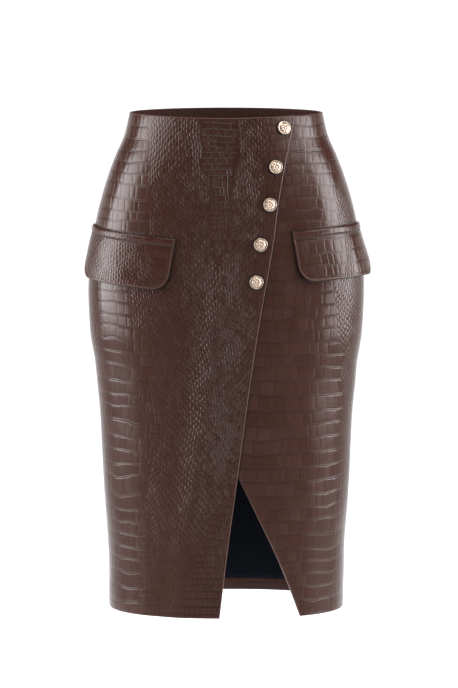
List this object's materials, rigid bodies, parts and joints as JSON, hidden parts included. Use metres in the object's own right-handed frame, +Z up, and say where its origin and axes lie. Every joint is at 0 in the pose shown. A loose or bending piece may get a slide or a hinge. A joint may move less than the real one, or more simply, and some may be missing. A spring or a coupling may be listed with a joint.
{
  "type": "wrap-front pencil skirt",
  "caption": "Knee-length wrap-front pencil skirt in embossed imitation leather, filled out as worn, with a slanting button front, pocket flaps and a front slit.",
  "frame": {"origin": "middle of the waist opening, level with the waist's edge at the side seams", "axes": "+Z up along the body, -Y towards the front, +X towards the wearer's left side"},
  "size_m": [0.3927, 0.2545, 0.6866],
  "materials": {
    "embossed_leather": "dark brown imitation leather with an embossed crocodile grain and a soft semi-gloss",
    "lining": "matt black woven lining",
    "gold_metal": "pale gold metal, raised ornament, polished"
  },
  "bodies": {
    "root": {"front_wrap": "embossed_leather", "front_under": "embossed_leather", "back": "embossed_leather", "waist_facing": "embossed_leather", "back_lining": "lining", "flap_right": "embossed_leather", "flap_left": "embossed_leather", "button_1": "gold_metal", "button_2": "gold_metal", "button_3": "gold_metal", "button_4": "gold_metal", "button_5": "gold_metal"}
  },
  "joints": []
}
